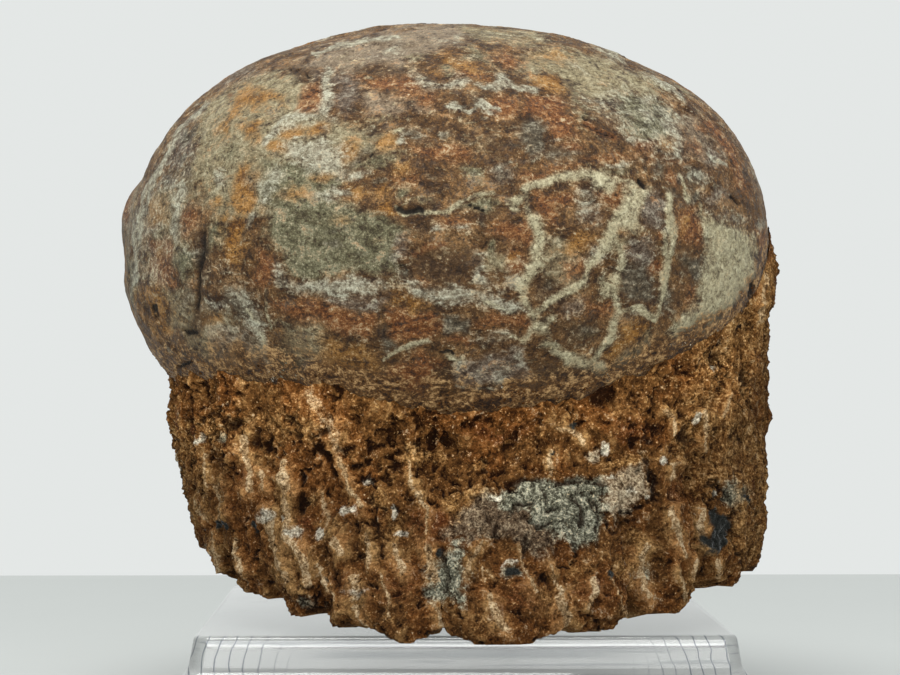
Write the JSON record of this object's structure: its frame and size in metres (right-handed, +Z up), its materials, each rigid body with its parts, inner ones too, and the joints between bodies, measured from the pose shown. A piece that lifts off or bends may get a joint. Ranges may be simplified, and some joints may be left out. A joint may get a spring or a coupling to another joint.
{
  "type": "fossil dinosaur egg",
  "caption": "Rounded fossil egg half freed from its rough brown mudstone matrix, resting on a clear acrylic display plinth with a flared foot.",
  "frame": {"origin": "centre of the stand's flat underside", "axes": "+Z up, -Y the side that is shown, +X to the viewer's right"},
  "size_m": [0.1339, 0.1289, 0.138],
  "materials": {
    "egg": "worn, mottled rust brown, grey-green and cream, faint sheen",
    "matrix": "rough, granular, tool-marked",
    "stand": "clear, polished"
  },
  "bodies": {
    "root": {"egg": "egg", "matrix": "matrix", "stand": "stand"}
  },
  "joints": []
}
